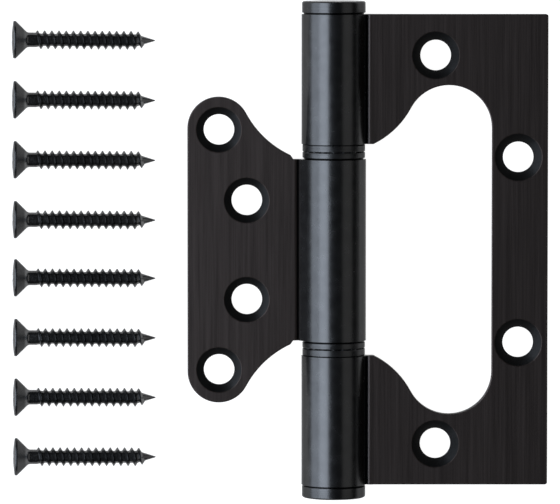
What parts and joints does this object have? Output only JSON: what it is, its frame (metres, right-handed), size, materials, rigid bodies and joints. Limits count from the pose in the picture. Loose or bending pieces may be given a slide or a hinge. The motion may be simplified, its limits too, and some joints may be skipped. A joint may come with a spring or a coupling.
{
  "type": "door hinge",
  "caption": "Flush non-mortise door hinge: a small leaf folds into the window of a larger one round a capped pin with ball bearings, with its wood screws.",
  "frame": {"origin": "the middle of the hinge pin's axis", "axes": "+Y along the pin, +X outward over the frame leaf, -X outward over the door leaf, +Z out of the countersunk front of both leaves when the hinge lies open flat"},
  "size_m": [0.1138, 0.1054, 0.0137],
  "materials": {
    "black_leaf_steel": "black, brushed along the pin, satin",
    "black_cap_steel": "black, turned, satin",
    "black_race_steel": "black, turned, satin",
    "bright_pin_steel": "ground, lightly oiled",
    "ball_steel": "polished, under a film of dark grease",
    "black_screw_steel": "black oxide, satin"
  },
  "bodies": {
    "frame_side": {"frame_leaf": "black_leaf_steel", "hinge_pin": "bright_pin_steel", "top_cap": "black_cap_steel", "bottom_cap": "black_cap_steel", "upper_frame_race": "black_race_steel", "lower_frame_race": "black_race_steel"},
    "door_side": {"door_leaf": "black_leaf_steel", "upper_door_race": "black_race_steel", "lower_door_race": "black_race_steel"},
    "upper_balls": {"upper_ball_01": "ball_steel", "upper_ball_02": "ball_steel", "upper_ball_03": "ball_steel", "upper_ball_04": "ball_steel", "upper_ball_05": "ball_steel", "upper_ball_06": "ball_steel", "upper_ball_07": "ball_steel", "upper_ball_08": "ball_steel", "upper_ball_09": "ball_steel", "upper_ball_10": "ball_steel", "upper_ball_11": "ball_steel", "upper_ball_12": "ball_steel", "upper_ball_13": "ball_steel", "upper_ball_14": "ball_steel", "upper_ball_15": "ball_steel", "upper_ball_16": "ball_steel"},
    "lower_balls": {"lower_ball_01": "ball_steel", "lower_ball_02": "ball_steel", "lower_ball_03": "ball_steel", "lower_ball_04": "ball_steel", "lower_ball_05": "ball_steel", "lower_ball_06": "ball_steel", "lower_ball_07": "ball_steel", "lower_ball_08": "ball_steel", "lower_ball_09": "ball_steel", "lower_ball_10": "ball_steel", "lower_ball_11": "ball_steel", "lower_ball_12": "ball_steel", "lower_ball_13": "ball_steel", "lower_ball_14": "ball_steel", "lower_ball_15": "ball_steel", "lower_ball_16": "ball_steel"},
    "wood_screw_1": {"wood_screw_1": "black_screw_steel"},
    "wood_screw_2": {"wood_screw_2": "black_screw_steel"},
    "wood_screw_3": {"wood_screw_3": "black_screw_steel"},
    "wood_screw_4": {"wood_screw_4": "black_screw_steel"},
    "wood_screw_5": {"wood_screw_5": "black_screw_steel"},
    "wood_screw_6": {"wood_screw_6": "black_screw_steel"},
    "wood_screw_7": {"wood_screw_7": "black_screw_steel"},
    "wood_screw_8": {"wood_screw_8": "black_screw_steel"}
  },
  "joints": [
    {"name": "door_leaf_swing", "type": "hinge", "parent": "frame_side", "child": "door_side", "pos_m": [0, 0, 0], "axis": [0, 1, 0], "range_deg": [0, 180]},
    {"name": "upper_balls_orbit", "type": "hinge", "parent": "frame_side", "child": "upper_balls", "pos_m": [0, 0.02092, 0], "axis": [0, 1, 0], "range_deg": [0, 90]},
    {"name": "lower_balls_orbit", "type": "hinge", "parent": "frame_side", "child": "lower_balls", "pos_m": [0, -0.02092, 0], "axis": [0, 1, 0], "range_deg": [0, 90]},
    {"name": "wood_screw_1_lift", "type": "slide", "parent": "frame_side", "child": "wood_screw_1", "axis": [0, 0, 1], "range_m": [0, 0.04]},
    {"name": "wood_screw_2_lift", "type": "slide", "parent": "frame_side", "child": "wood_screw_2", "axis": [0, 0, 1], "range_m": [0, 0.04]},
    {"name": "wood_screw_3_lift", "type": "slide", "parent": "frame_side", "child": "wood_screw_3", "axis": [0, 0, 1], "range_m": [0, 0.04]},
    {"name": "wood_screw_4_lift", "type": "slide", "parent": "frame_side", "child": "wood_screw_4", "axis": [0, 0, 1], "range_m": [0, 0.04]},
    {"name": "wood_screw_5_lift", "type": "slide", "parent": "frame_side", "child": "wood_screw_5", "axis": [0, 0, 1], "range_m": [0, 0.04]},
    {"name": "wood_screw_6_lift", "type": "slide", "parent": "frame_side", "child": "wood_screw_6", "axis": [0, 0, 1], "range_m": [0, 0.04]},
    {"name": "wood_screw_7_lift", "type": "slide", "parent": "frame_side", "child": "wood_screw_7", "axis": [0, 0, 1], "range_m": [0, 0.04]},
    {"name": "wood_screw_8_lift", "type": "slide", "parent": "frame_side", "child": "wood_screw_8", "axis": [0, 0, 1], "range_m": [0, 0.04]}
  ],
  "couplings": [
    {"joint": "upper_balls_orbit", "follows": "door_leaf_swing", "ratio": 0.5},
    {"joint": "lower_balls_orbit", "follows": "door_leaf_swing", "ratio": 0.5}
  ]
}
